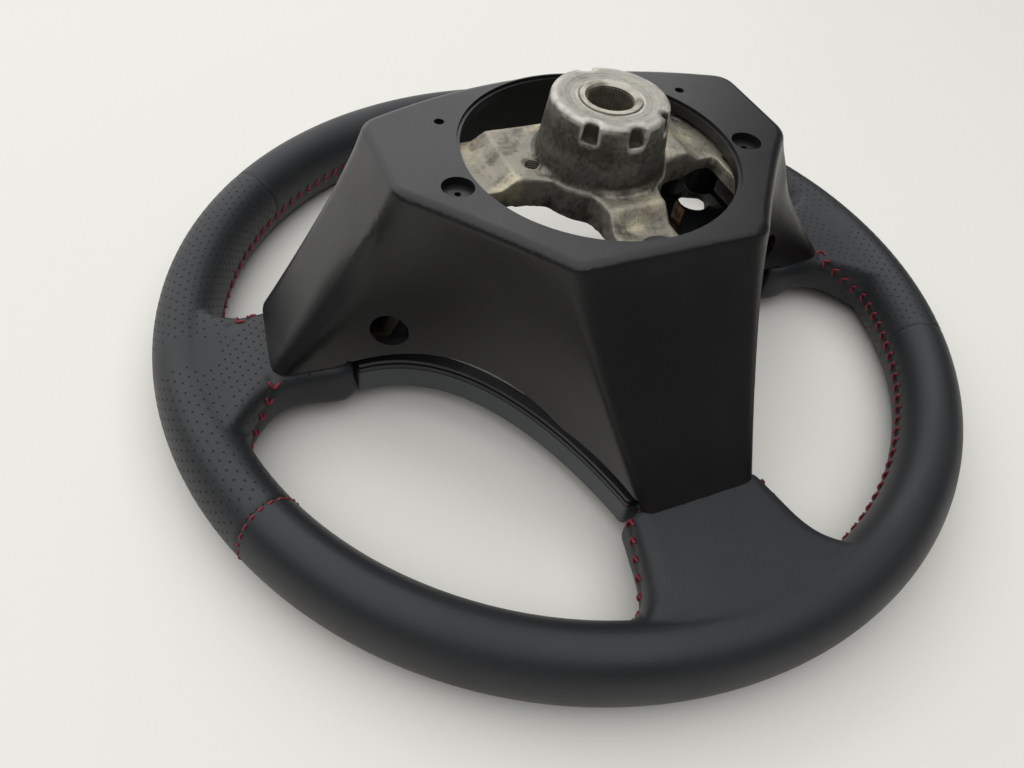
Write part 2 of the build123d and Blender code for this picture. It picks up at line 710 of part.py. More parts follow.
def main():
    casting = armature()
    core = rim_core()
    leather = padded_form(0.0) - padded_form(LEATHER) - casting
    pieces = {
        "armature": casting,
        "rim_core": core,
        "splined_bush": splined_bush(),
        "rim_foam": padded_form(LEATHER + GLUE) - casting - core,
        "back_cover": back_cover(),
        "bezel_garnish": bezel_garnish(),
        "bezel_frame": bezel_frame(),
        "bezel_screws": bezel_screws(),
        "contact_carrier": contact_carrier(),
        "contact_blade": contact_blade(),
        "contact_screw": contact_screw(),
    }
    for name, place in guide_places().items():
        pieces[f"guide_bush_{name}"] = guide_bush(*place)
    pieces.update(leather_panels(leather))
    os.makedirs("parts", exist_ok=True)
    for name, piece in pieces.items():
        export_step(piece, f"parts/{name}.step")


main()
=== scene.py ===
# %% [markdown]
# # A car steering wheel, seen from its back
#
# The wheel lies face down on a pale table: a leather rim, a moulded cover over the middle, and a
# die-cast hub that looks out of the cover's round opening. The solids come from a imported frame.
# This lesson gives them their finish, and makes the soft and the fine things that the solids lack:
# sewn leather, thread, perforations, cast edges, soft ridges and the teeth of the bush.

# %% Load the frame
import json
import math

import bmesh
import bpy
import numpy as np
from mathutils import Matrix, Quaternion, Vector, noise
from mathutils.bvhtree import BVHTree
from mathutils.kdtree import KDTree


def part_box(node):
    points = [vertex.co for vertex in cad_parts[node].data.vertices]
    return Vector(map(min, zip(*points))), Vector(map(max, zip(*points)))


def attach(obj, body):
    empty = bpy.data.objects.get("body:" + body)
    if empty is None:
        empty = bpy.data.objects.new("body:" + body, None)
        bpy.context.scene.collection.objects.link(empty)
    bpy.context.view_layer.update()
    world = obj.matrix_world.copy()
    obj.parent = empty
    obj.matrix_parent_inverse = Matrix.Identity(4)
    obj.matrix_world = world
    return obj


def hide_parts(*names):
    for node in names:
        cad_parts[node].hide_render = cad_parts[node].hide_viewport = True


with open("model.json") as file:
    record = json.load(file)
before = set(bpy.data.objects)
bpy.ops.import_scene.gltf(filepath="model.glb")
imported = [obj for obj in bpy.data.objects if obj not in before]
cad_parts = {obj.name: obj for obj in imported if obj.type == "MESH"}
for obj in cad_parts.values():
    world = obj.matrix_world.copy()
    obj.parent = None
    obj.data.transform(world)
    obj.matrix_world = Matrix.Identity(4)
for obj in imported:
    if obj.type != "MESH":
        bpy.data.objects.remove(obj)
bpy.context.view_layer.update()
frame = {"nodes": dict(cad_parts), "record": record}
MM = 0.001
BODY = "root"
nodes = frame["nodes"]
mounts = {mount["name"]: mount for mount in frame["record"]["mounts"]}
print("nodes:", ", ".join(sorted(nodes)))

# %% [markdown]
# ## Camera
#
# The photograph was taken from above the lower left of the wheel with a wide lens, held a little
# askew. A camera that is aimed at a point of the table and then rolled says that in three values,
# which is easier to correct by eye than a matrix.

# %% Camera
CAMERA_PLACE = Vector((-155.8, -235.4, 281.9)) * MM
CAMERA_AIM = Vector((-34.9, -21.4, 0.0)) * MM
CAMERA_ROLL = math.radians(9.02)
CAMERA_LENS = 28.125

camera = bpy.data.objects.new("camera", bpy.data.cameras.new("camera"))
camera.data.lens = CAMERA_LENS
camera.location = CAMERA_PLACE
gaze = (CAMERA_AIM - CAMERA_PLACE).to_track_quat("-Z", "Y")
camera.rotation_euler = (gaze @ Quaternion((0, 0, 1), CAMERA_ROLL)).to_euler()
bpy.context.scene.collection.objects.link(camera)
bpy.context.scene.camera = camera
print("camera", round((CAMERA_AIM - CAMERA_PLACE).length, 3), "m from its aim")

# %% [markdown]
# ## Shader sockets
#
# A finish is mostly arithmetic on noise and places. Wrapping a socket in a small class lets that
# arithmetic be written as Python expressions: each operator adds the Math node that it stands for,
# and one method adds every other kind of node. The same class serves the geometry trees below.


# %% Sockets as values
class Wire:
    """A socket of a node tree that takes part in expressions."""

    def __init__(self, tree, socket):
        self.tree = tree
        self.socket = socket

    def node(self, kind, settings, inputs, output=0):
        """Add a node: its settings first, then values or links for its sockets."""
        new = self.tree.nodes.new(kind)
        for name, value in settings.items():
            setattr(new, name, value)
        for key, value in inputs.items():
            several = isinstance(value, tuple) and isinstance(value[0], Wire)
            for one in value if several else (value,):
                if isinstance(one, Wire):
                    self.tree.links.new(one.socket, new.inputs[key])
                else:
                    new.inputs[key].default_value = one
        return Wire(self.tree, new.outputs[output])

    def maths(self, operation, first, second):
        return self.node("ShaderNodeMath", {"operation": operation}, {0: first, 1: second})

    def __add__(self, other):
        return self.maths("ADD", self, other)

    def __sub__(self, other):
        return self.maths("SUBTRACT", self, other)

    def __mul__(self, other):
        return self.maths("MULTIPLY", self, other)

    def __truediv__(self, other):
        return self.maths("DIVIDE", self, other)

    def __rsub__(self, other):
        return self.maths("SUBTRACT", other, self)

    __radd__ = __add__
    __rmul__ = __mul__

    def ramp(self, low, high):
        """Smooth step of this value from 0 at low to 1 at high."""
        inputs = {"Value": self, "From Min": low, "From Max": high}
        return self.node("ShaderNodeMapRange", {"interpolation_type": "SMOOTHSTEP"}, inputs)

    def tint(self, first, second):
        """Colour that goes from first to second as this value goes from 0 to 1."""
        return self.node("ShaderNodeMix", {"data_type": "RGBA"}, {0: self, 6: first, 7: second}, 2)


def finish(name, **constants):
    """New material: returns it with its shader node and its object coordinates as a wire."""
    material = bpy.data.materials.new(name)
    material.use_nodes = True
    shader = material.node_tree.nodes["Principled BSDF"]
    for label, value in constants.items():
        shader.inputs[label.replace("_", " ")].default_value = value
    coordinates = material.node_tree.nodes.new("ShaderNodeTexCoord")
    return material, shader, Wire(material.node_tree, coordinates.outputs["Object"])


def feed(shader, **wires):
    """Link values that vary over the surface to the shader's sockets."""
    for label, wire in wires.items():
        wire.tree.links.new(wire.socket, shader.inputs[label.replace("_", " ")])


def cloudy(place, scale, detail=2.0, roughness=0.5):
    """Noise value at a number of features per metre."""
    inputs = {"Vector": place, "Scale": scale, "Detail": detail, "Roughness": roughness}
    return place.node("ShaderNodeTexNoise", {}, inputs)


def pebbles(place, scale):
    """Distance to the nearest cell centre of a cell pattern, in cells per metre."""
    return place.node("ShaderNodeTexVoronoi", {}, {"Vector": place, "Scale": scale})


def relief(height, depth):
    """Normal from a height value, with its depth in metres."""
    return height.node("ShaderNodeBump", {}, {"Height": height, "Distance": depth, "Strength": 1.0})


def grey(level, warm=0.0):
    """Neutral colour, with a little warmth or, below zero, coolness."""
    return (level * (1 + warm), level, level * (1 - warm), 1.0)


print("shader sockets ready")

# %% [markdown]
# ## Table and light
#
# The table is a plain pale sheet. The light in the photograph is very broad: shadows are faint, and
# only the faces that mirror the room behind the camera are dark. One lamp as wide as a ceiling, set
# to the left, and a second one like a pale wall behind the wheel do that. The dim world is the rest
# of the room.

# %% Table and light
TABLE_HALF = 4.0
TABLE_COLOUR = (0.8, 0.79, 0.74, 1.0)
TABLE_GRAIN = 0.02 * MM
LAMPS = {
    "ceiling": {
        "place": (-0.8, 0.2, 3.0),
        "aim": (-0.8, 0.2, 0.0),
        "size": (6.5, 6.5),
        "power": 186.0,
    },
    "wall": {
        "place": (-1.0, 4.0, 2.3),
        "aim": (-1.0, 0.0, 2.3),
        "size": (9.0, 4.6),
        "power": 150.0,
    },
}
ROOM_COLOUR = (0.93, 0.96, 1.0, 1.0)
ROOM_STRENGTH = 0.07

table_mesh = bpy.data.meshes.new("table")
corners = [(-1, -1), (1, -1), (1, 1), (-1, 1)]
table_mesh.from_pydata([(x * TABLE_HALF, y * TABLE_HALF, 0.0) for x, y in corners], [], [(0, 1, 2, 3)])
table = bpy.data.objects.new("table", table_mesh)
bpy.context.scene.collection.objects.link(table)
dull = {"Roughness": 0.55, "Specular_IOR_Level": 0.25}
paint, shader, place = finish("table_paint", Base_Color=TABLE_COLOUR, **dull)
feed(shader, Normal=relief(cloudy(place, 900.0), TABLE_GRAIN))
table_mesh.materials.append(paint)

for name, setting in LAMPS.items():
    lamp = bpy.data.objects.new(name, bpy.data.lights.new(name, "AREA"))
    lamp.data.shape = "RECTANGLE"
    lamp.data.size, lamp.data.size_y = setting["size"]
    lamp.data.energy = setting["power"]
    lamp.location = setting["place"]
    gaze = Vector(setting["aim"]) - Vector(setting["place"])
    lamp.rotation_euler = gaze.to_track_quat("-Z", "Y").to_euler()
    bpy.context.scene.collection.objects.link(lamp)

world = bpy.data.worlds.new("room")
world.use_nodes = True
room = world.node_tree.nodes["Background"]
room.inputs["Color"].default_value = ROOM_COLOUR
room.inputs["Strength"].default_value = ROOM_STRENGTH
bpy.context.scene.world = world
bpy.context.scene.view_settings.view_transform = "Standard"
print("table", 2 * TABLE_HALF, "m wide, lamps:", ", ".join(LAMPS))

# %% [markdown]
# ## Working on a mesh as arrays
#
# Leather and castings have no sharp corners. Both start as a voxel remesh of the solids, which
# makes an even skin of small quads, and are then relaxed with a few lines of array code: each point
# moves towards the mean of its neighbours, as far as a weight allows.


# %% Mesh helpers
WELD = 0.005 * MM


def new_piece(name, mesh):
    """Object for a mesh, at the origin."""
    piece = bpy.data.objects.new(name, mesh)
    bpy.context.scene.collection.objects.link(piece)
    return piece


def plain_mesh(piece):
    """Mesh of a piece with its modifiers applied."""
    graph = bpy.context.evaluated_depsgraph_get()
    return bpy.data.meshes.new_from_object(piece.evaluated_get(graph))


def joined_copy(names):
    """One merged bmesh from copies of several nodes."""
    work = bmesh.new()
    for name in names:
        work.from_mesh(nodes[name].data)
    bmesh.ops.remove_doubles(work, verts=work.verts, dist=WELD)
    return work


def remeshed(work, voxel):
    """Even skin of quads over a bmesh, which is used up."""
    mesh = bpy.data.meshes.new("form")
    work.to_mesh(mesh)
    work.free()
    blank = new_piece("form", mesh)
    wrap = blank.modifiers.new("voxels", "REMESH")
    wrap.mode = "VOXEL"
    wrap.voxel_size = voxel
    skin = plain_mesh(blank)
    bpy.data.objects.remove(blank)
    return skin


def values(mesh, what, width):
    """Array of a value of every vertex or edge."""
    items = mesh.edges if what == "vertices" else mesh.vertices
    flat = np.empty(len(items) * width, dtype=np.int32 if what == "vertices" else np.float32)
    items.foreach_get(what, flat)
    return flat.reshape(-1, width)


def places_of(mesh):
    """Places of a mesh's vertices, in double precision."""
    return values(mesh, "co", 3).astype(np.float64)


def neighbour_mean(points, edges):
    """Mean place of the neighbours of every point."""
    first, second = edges.T
    count = np.bincount(edges.ravel(), minlength=len(points))
    total = np.empty_like(points)
    for axis in range(3):
        total[:, axis] = np.bincount(first, points[second, axis], len(points))
        total[:, axis] += np.bincount(second, points[first, axis], len(points))
    return total / count[:, None]


def relaxed(points, edges, rounds, weight=0.5):
    """Points after rounds of moving towards their neighbours."""
    for _ in range(rounds):
        points = points + weight * (neighbour_mean(points, edges) - points)
    return points


def filled(mesh, rounds, depth):
    """Places of a mesh where hollows deeper than a depth take the place that long relaxing gives."""
    points = places_of(mesh)
    soft = relaxed(points, values(mesh, "vertices", 2), rounds)
    hollow = ((soft - points) * values(mesh, "normal", 3)).sum(axis=1)
    share = np.clip(hollow / depth, 0.0, 1.0)
    return points + share[:, None] * (soft - points)


def put_back(mesh, points):
    """Write changed places back to a mesh, and shade it smooth."""
    mesh.vertices.foreach_set("co", points.astype(np.float32).ravel())
    mesh.shade_smooth()
    mesh.update()


print("mesh helpers ready")

# %% [markdown]
# ## Leather form
#
# On the real wheel the leather is glued over foam, so where a spoke root runs into the rim it lies
# in a soft valley. The solids meet there in a sharp crease. The remeshed skin is relaxed a long
# way, and only what was hollow takes the relaxed place: valleys fill up, and the round rim keeps
# its size.

# %% Leather skin
LEATHER_NODES = ("leather_top", "leather_bottom", "leather_left_grip", "leather_right_grip")
LEATHER_VOXEL = 1.0 * MM
FIRST_ROUNDS = 3
VALLEY_ROUNDS = 160
VALLEY_DEPTH = 0.5 * MM

skin = remeshed(joined_copy(LEATHER_NODES + ("rim_foam", "rim_core")), LEATHER_VOXEL)
put_back(skin, relaxed(places_of(skin), values(skin, "vertices", 2), FIRST_ROUNDS))
put_back(skin, filled(skin, VALLEY_ROUNDS, VALLEY_DEPTH))
print("leather skin:", len(skin.polygons), "quads")

# %% [markdown]
# ## Where the thread runs
#
# The leather is sewn shut along the inside of the rim, and the seam follows each gap between the
# spokes. So a fan of level rays from the middle of a gap finds it: every ray that meets leather
# gives one point of the seam. The seam was sewn by hand and lies a little higher on the right, so
# each ray is cast again at the height of the place that it met. On a spoke root the seam climbs:
# steeply on the side roots, up to the cover's corner, and slowly on the lower root. The points are
# then spaced evenly along the line.

# %% Seam lines
leather_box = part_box("leather_bottom")
RIM_MIDDLE = (leather_box[0][2] + leather_box[1][2]) / 2
RIM_OUTER = -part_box("leather_left_grip")[0][0]
RIM_HALF_WIDTH = 13.5 * MM
RIM_RADIUS = RIM_OUTER - RIM_HALF_WIDTH
SEAM_HEIGHT = RIM_MIDDLE - 1.0 * MM
SEAM_TILT = 0.016
SIDE_ROOT = {"start": 0.155, "climb": 0.8, "limit": 0.139}
LOWER_ROOT = {"start": 0.150, "climb": 0.33, "limit": 0.117}
LOWER_ROOT_SLANT = 0.6
CASTS = 4
GAPS = {
    "upper": (0.0, 0.1, 0.2),
    "lower_left": (-0.095, -0.07, 0.105),
    "lower_right": (0.095, -0.07, 0.105),
}
FAN = 2000
BREAK = 6.0 * MM
SHORTEST_RUN = 8
STITCH_PITCH = 6.8 * MM
SUBSTEPS = 8

bvh = BVHTree.FromPolygons([v.co for v in skin.vertices], [p.vertices[:] for p in skin.polygons])


def seam_hits(gap_x, gap_y, reach):
    """Places and normals where a fan of level rays meets the leather round a gap."""
    found = []
    for step in range(FAN):
        angle = 2 * math.pi * step / FAN
        towards = Vector((math.cos(angle), math.sin(angle), 0))
        height = SEAM_HEIGHT
        for _ in range(CASTS):
            place, normal, _, _ = bvh.ray_cast(Vector((gap_x, gap_y, height)), towards, reach)
            if place is None:
                break
            radius = place.xy.length
            root = LOWER_ROOT if abs(place.x) < -LOWER_ROOT_SLANT * place.y else SIDE_ROOT
            inwards = max(0.0, root["start"] - radius)
            tilt = SEAM_TILT * place.x * max(0.0, 1 - inwards / (root["start"] - root["limit"]))
            height = SEAM_HEIGHT + tilt + root["climb"] * inwards
        if place is not None and radius > root["limit"]:
            found.append((place, normal))
    return found


def unbroken(found):
    """Runs of hits without a jump, with the fan's start joined to its end."""
    runs = [[found[0]]]
    for hit in found[1:]:
        if (hit[0] - runs[-1][-1][0]).length > BREAK:
            runs.append([])
        runs[-1].append(hit)
    if len(runs) > 1 and (runs[0][0][0] - runs[-1][-1][0]).length < BREAK:
        runs[0] = runs.pop() + runs[0]
    return runs


def between(stops, walked, rows):
    """Rows that belong to distances along a line, from the rows at its walked distances."""
    return np.stack([np.interp(stops, walked, column) for column in rows.T], axis=1)


def spaced(run, pitch):
    """Evenly spaced places along a run, with normals and directions."""
    line = np.array([place for place, _ in run])
    facing = np.array([normal for _, normal in run])
    walked = np.concatenate([[0.0], np.cumsum(np.linalg.norm(np.diff(line, axis=0), axis=1))])
    stops = np.arange(pitch / 2, walked[-1], pitch)
    stations = between(stops, walked, line)
    ahead = between(stops + pitch / SUBSTEPS, walked, line)
    return stations, between(stops, walked, facing), ahead - stations


seam_runs = [run for gap in GAPS.values() for run in unbroken(seam_hits(*gap))]
seam_runs = [run for run in seam_runs if len(run) > SHORTEST_RUN]
print("seam lines:", [len(spaced(run, STITCH_PITCH)[0]) for run in seam_runs], "stitches each")

# %% [markdown]
# ## Seams pressed into the leather
#
# Thread pulls the leather in. Along the inner seam the skin sinks into a groove and puckers between
# the stitches, and where two panels meet there is a fine line right round the rim. Both are pressed
# into the skin as real depth, so they show from every side.

# %% Grooves and puckers
GROOVE_DEPTH = 0.5 * MM
GROOVE_WIDTH = 1.1 * MM
PUCKER_DEPTH = 0.65 * MM
PUCKER_WIDTH = 2.9 * MM
PUCKER_LIMIT = 3.0 * PUCKER_WIDTH
SEAM_DEPTH = 0.55 * MM
SEAM_WIDTH = 0.7 * MM
LOWER_SEAM = math.radians(65.0)
UPPER_SEAM = math.radians(134.5)
SIX = math.radians(-90.0)
SEAM_ANGLES = [SIX - LOWER_SEAM, SIX + LOWER_SEAM, SIX - UPPER_SEAM, SIX + UPPER_SEAM]

dense = [spaced(run, STITCH_PITCH / SUBSTEPS) for run in seam_runs]
near_seam = KDTree(sum(len(part[0]) for part in dense))
phases = []
for part in dense:
    for count, place in enumerate(part[0]):
        near_seam.insert(place, len(phases))
        phases.append(count / SUBSTEPS)
near_seam.balance()

points = places_of(skin)
normals = values(skin, "normal", 3)
sunk = np.zeros(len(points))
inside = np.hypot(points[:, 0], points[:, 1]) < RIM_RADIUS
for i in np.flatnonzero(inside):
    _, index, distance = near_seam.find(points[i])
    if distance < PUCKER_LIMIT:
        pull = 0.5 + 0.5 * math.cos(2 * math.pi * phases[index])
        sunk[i] += GROOVE_DEPTH * math.exp(-((distance / GROOVE_WIDTH) ** 2))
        sunk[i] += PUCKER_DEPTH * pull * math.exp(-((distance / PUCKER_WIDTH) ** 2))
for angle in SEAM_ANGLES:
    across = points[:, 1] * math.cos(angle) - points[:, 0] * math.sin(angle)
    along = points[:, 0] * math.cos(angle) + points[:, 1] * math.sin(angle)
    sunk += SEAM_DEPTH * np.exp(-((across / SEAM_WIDTH) ** 2)) * (along > 0)
put_back(skin, points - sunk[:, None] * normals)
print("pressed in by up to", round(sunk.max() / MM, 2), "mm")

# %% [markdown]
# ## Leather finish
#
# Wheel leather is coated: nearly black, with a soft sheen and a grain of tiny pebbles. The grain is
# a cell pattern half a millimetre wide that only tilts the normal, with slow noise in the
# roughness, where hands have polished it.


# %% Leather material
LEATHER_GRAIN = 0.04 * MM


def leather_finish(name, level):
    """Coated black leather with a fine grain."""
    material, shader, place = finish(name, Base_Color=grey(level, -0.1), IOR=1.45)
    grain = pebbles(place, 1500.0) + 0.6 * cloudy(place, 700.0)
    polish = cloudy(place, 22.0, 3.0).ramp(0.3, 0.7)
    feed(shader, Normal=relief(grain, LEATHER_GRAIN), Roughness=0.44 + 0.1 * polish)
    return material


plain_leather = leather_finish("plain_leather", 0.016)
grip_leather = leather_finish("grip_leather", 0.018)
print("leather finishes:", plain_leather.name, grip_leather.name)

# %% [markdown]
# ## Four leather panels
#
# The rim is covered by four pieces of leather. The skin is cut by planes through the steering axis
# at the seams. Each cut is filled, so that every panel is a closed form of its own.


# %% Panels
def wedge(mesh, start, end):
    """Closed part of a mesh between two half planes through the steering axis."""
    work = bmesh.new()
    work.from_mesh(mesh)
    for angle, side in ((start, 1), (end, -1)):
        normal = Vector((math.sin(angle), -math.cos(angle), 0)) * side
        bmesh.ops.bisect_plane(
            work,
            geom=work.verts[:] + work.edges[:] + work.faces[:],
            plane_co=(0, 0, 0),
            plane_no=normal,
            clear_outer=True,
        )
    rims = [edge for edge in work.edges if edge.is_boundary]
    bmesh.ops.holes_fill(work, edges=rims)
    cut = bpy.data.meshes.new("panel")
    work.to_mesh(cut)
    work.free()
    return cut


PANELS = {
    "leather_top": (SIX + UPPER_SEAM, SIX + 2 * math.pi - UPPER_SEAM, "plain_leather", plain_leather),
    "leather_bottom": (SIX - LOWER_SEAM, SIX + LOWER_SEAM, "plain_leather", plain_leather),
    "leather_left_grip": (SIX - UPPER_SEAM, SIX - LOWER_SEAM, "perforated_leather", grip_leather),
    "leather_right_grip": (SIX + LOWER_SEAM, SIX + UPPER_SEAM, "perforated_leather", grip_leather),
}
for node, (start, end, slot, material) in PANELS.items():
    mesh = wedge(skin, start, end)
    mesh.materials.append(material)
    panel = new_piece(node.replace("leather", "sewn"), mesh)
    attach(panel, BODY)
    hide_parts(node)
    print(panel.name, len(mesh.polygons), "faces")

# %% [markdown]
# ## Geometry trees for what repeats
#
# Stitches, perforations, serrations and thread turns are each one small shape, set down many times.
# Geometry Nodes do that from a cloud of points that carry two directions: facing, out of the
# surface, and along, in it. The tree's sizes are named inputs, and its result is made a plain mesh.


# %% Tree helpers
def new_tree(name, sizes):
    """Empty geometry tree: returns it with its points, its size inputs as wires, and their keys."""
    tree = bpy.data.node_groups.new(name, "GeometryNodeTree")
    tree.interface.new_socket("Points", in_out="INPUT", socket_type="NodeSocketGeometry")
    tree.interface.new_socket("Pieces", in_out="OUTPUT", socket_type="NodeSocketGeometry")
    keys = {}
    for label in sizes:
        socket = tree.interface.new_socket(label, in_out="INPUT", socket_type="NodeSocketFloat")
        keys[label] = socket.identifier
    start = tree.nodes.new("NodeGroupInput")
    inputs = {label: Wire(tree, start.outputs[label]) for label in sizes}
    return tree, Wire(tree, start.outputs["Points"]), inputs, keys


def set_down(cloud, shape, material):
    """Put a shape on every point of the cloud, turned by its two directions, and end the tree."""
    facing, along = (
        cloud.node("GeometryNodeInputNamedAttribute", {"data_type": "FLOAT_VECTOR"}, {"Name": label})
        for label in ("facing", "along")
    )
    turn = cloud.node(
        "FunctionNodeAxesToRotation",
        {"primary_axis": "Z", "secondary_axis": "X"},
        {"Primary Axis": facing, "Secondary Axis": along},
    )
    placed = cloud.node(
        "GeometryNodeInstanceOnPoints", {}, {"Points": cloud, "Instance": shape, "Rotation": turn}
    )
    real = cloud.node("GeometryNodeRealizeInstances", {}, {"Geometry": placed})
    coated = cloud.node("GeometryNodeSetMaterial", {}, {"Geometry": real, "Material": material})
    end = cloud.tree.nodes.new("NodeGroupOutput")
    cloud.tree.links.new(coated.socket, end.inputs["Pieces"])


def cloud_mesh(name, stations, normals, directions):
    """Mesh of loose points with their two directions."""
    mesh = bpy.data.meshes.new(name)
    mesh.from_pydata([tuple(place) for place in stations], [], [])
    for label, vectors in (("facing", normals), ("along", directions)):
        attribute = mesh.attributes.new(label, "FLOAT_VECTOR", "POINT")
        attribute.data.foreach_set("vector", np.asarray(vectors, dtype=np.float32).ravel())
    return mesh


def grown(name, cloud, tree, keys, sizes):
    """Piece made by a tree from a cloud of points, as a plain mesh."""
    piece = new_piece(name, cloud)
    modifier = piece.modifiers.new("tree", "NODES")
    modifier.node_group = tree
    for label, value in sizes.items():
        modifier[keys[label]] = value
    mesh = plain_mesh(piece)
    piece.modifiers.remove(modifier)
    piece.data = mesh
    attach(piece, BODY)
    print(name, len(cloud.vertices), "points,", len(mesh.polygons), "faces")
    return piece


def tube(cloud, curve, sides, radius):
    """Closed tube along a curve."""
    ring = cloud.node("GeometryNodeCurvePrimitiveCircle", {}, {"Resolution": sides, "Radius": radius})
    inputs = {"Curve": curve, "Profile Curve": ring, "Fill Caps": True}
    return cloud.node("GeometryNodeCurveToMesh", {}, inputs)


print("tree helpers ready")

# %% [markdown]
# ## Red stitches
#
# The inner seam is sewn with red thread in slanting pairs: two short bows that start wide on both
# sides of the groove and meet in it. They could be bent tubes made by hand, but they are many and
# all alike, so one tree makes the pair and sets it down along the seam.

# %% Stitches
THREAD_DARK = (0.13, 0.006, 0.016, 1.0)
THREAD_LIGHT = (0.26, 0.014, 0.03, 1.0)
STITCH_SIZES = {"Thread": 0.57 * MM, "Run": 2.3 * MM, "Spread": 2.2 * MM, "Lift": 0.8 * MM}
BOW_STEPS = 5
BOW_SIDES = 6
SUNK_END = -0.3 * MM
BOW_AHEAD = 0.1
BOW_TOP = 0.7
BOW_CLOSED = 0.12


def arc(cloud, start, middle, end, radius):
    """Tube along a bow through three places, each given by its three values or wires."""
    places = [dict(enumerate(place)) for place in (start, middle, end)]
    corners = [cloud.node("ShaderNodeCombineXYZ", {}, place) for place in places]
    inputs = dict(enumerate([BOW_STEPS, *corners]))
    bow = cloud.node("GeometryNodeCurveQuadraticBezier", {}, inputs)
    return tube(cloud, bow, BOW_SIDES, radius)


thread, shader, place = finish("red_thread", Roughness=0.62)
fibre = cloudy(place, 1800.0).ramp(0.3, 0.7)
feed(shader, Base_Color=fibre.tint(THREAD_DARK, THREAD_LIGHT))
tree, cloud, size, keys = new_tree("stitch_pair", STITCH_SIZES)
pair = tuple(
    arc(
        cloud,
        (-0.5 * size["Run"], side * size["Spread"], SUNK_END),
        (BOW_AHEAD * size["Run"], BOW_TOP * side * size["Spread"], size["Lift"]),
        (0.5 * size["Run"], BOW_CLOSED * side * size["Spread"], SUNK_END),
        size["Thread"],
    )
    for side in (-1, 1)
)
joined = cloud.node("GeometryNodeJoinGeometry", {}, {0: pair})
smooth = cloud.node("GeometryNodeSetShadeSmooth", {}, {0: joined})
set_down(cloud, smooth, thread)

parts = [spaced(run, STITCH_PITCH) for run in seam_runs]
stitch_cloud = cloud_mesh("stitch_points", *(np.concatenate(column) for column in zip(*parts)))
grown("inner_stitches", stitch_cloud, tree, keys, STITCH_SIZES)

# %% [markdown]
# ## Dashes beside a panel seam
#
# Where two panels meet, the same thread shows as short single dashes over the back of the rim, a
# millimetre beside the seam. Rays cast at the rim's section from outside find their line. The tree
# is the one of the stitches, with the pair closed up into one.

# %% Dashes
DASH_PITCH = 4.2 * MM
DASH_SIZES = {"Thread": 0.38 * MM, "Run": 2.3 * MM, "Spread": 0.2 * MM, "Lift": 0.7 * MM}
DASH_OFFSET = 1.0 * MM
DASH_CASTS = 181
DASH_FIRST = math.radians(-18.0)
DASH_TURN = math.radians(1.2)
CAST_FROM = 50.0 * MM


def radial_dashes(angle, shift):
    """Places on the back half of the rim, beside a radial seam."""
    outwards = Vector((math.cos(angle), math.sin(angle), 0))
    beside = Vector((-math.sin(angle), math.cos(angle), 0)) * shift
    middle = outwards * RIM_RADIUS + Vector((0, 0, RIM_MIDDLE)) + beside
    run = []
    for step in range(DASH_CASTS):
        turn = DASH_FIRST + step * DASH_TURN
        towards = outwards * math.cos(turn) + Vector((0, 0, math.sin(turn)))
        place, normal, _, _ = bvh.ray_cast(middle + towards * CAST_FROM, -towards)
        run.append((place, normal))
    return spaced(run, DASH_PITCH)


dash_cloud = cloud_mesh("dash_points", *radial_dashes(SEAM_ANGLES[0], DASH_OFFSET))
grown("seam_stitches", dash_cloud, tree, keys, DASH_SIZES)

# %% [markdown]
# ## Where the leather is perforated
#
# The two grips are perforated in a square pattern that lies at 45 degrees. On the rim the pattern
# follows the rim's length and girth; on the spoke roots it is flat. Rays find the places, and those
# that crowd the seam or each other are left out.

# %% Places of the perforations
HOLE_PITCH = 5.1 * MM
HOLE_SIZES = {"Hole": 0.56 * MM, "Depth": 0.5 * MM}
HOLE_RISE = 0.03 * MM
HOLE_GAP = 3.0 * MM
SEAM_MARGIN = 4.5 * MM
GIRTH = 97.0 * MM
SECTION_RANGE = (10.0 * MM, 24.0 * MM)
FLAT_RANGE = (0.113, 0.158)
FLAT_NORMAL = 0.45
ROOT_RAYS = ((0.06, -1), (-0.02, 1))
ROOT_REACH = 0.06
PANEL_MARGIN = math.radians(1.2)


def rim_holes(start, end):
    """Hits of rays from the middle of the rim's section, in a staggered grid."""
    rows = round(GIRTH / HOLE_PITCH) * 2
    columns = int((end - start) * RIM_RADIUS / HOLE_PITCH)
    for row in range(rows):
        turn = 2 * math.pi * row / rows
        for column in range(columns):
            angle = start + (column + 0.5 * (row % 2) + 0.25) * (end - start) / columns
            outwards = Vector((math.cos(angle), math.sin(angle), 0))
            towards = outwards * math.cos(turn) + Vector((0, 0, math.sin(turn)))
            middle = outwards * RIM_RADIUS + Vector((0, 0, RIM_MIDDLE))
            place, normal, _, distance = bvh.ray_cast(middle, towards)
            if place is not None and SECTION_RANGE[0] < distance < SECTION_RANGE[1]:
                yield place, normal


def root_holes(start, end):
    """Hits of upright rays on the back and the front of a spoke root, in the same grid."""
    steps = int(2 * RIM_OUTER / HOLE_PITCH)
    for row in range(-steps, steps + 1):
        for column in range(-steps // 2, steps // 2 + 1):
            x = (column + 0.5 * (row % 2)) * HOLE_PITCH
            y = row * HOLE_PITCH / 2
            angle = (math.atan2(y, x) - start) % (2 * math.pi) + start
            if not (FLAT_RANGE[0] < math.hypot(x, y) < FLAT_RANGE[1] and angle < end):
                continue
            for height, upwards in ROOT_RAYS:
                towards = Vector((0, 0, upwards))
                place, normal, _, _ = bvh.ray_cast(Vector((x, y, height)), towards, ROOT_REACH)
                if place is not None and abs(normal.z) > FLAT_NORMAL:
                    yield place, normal


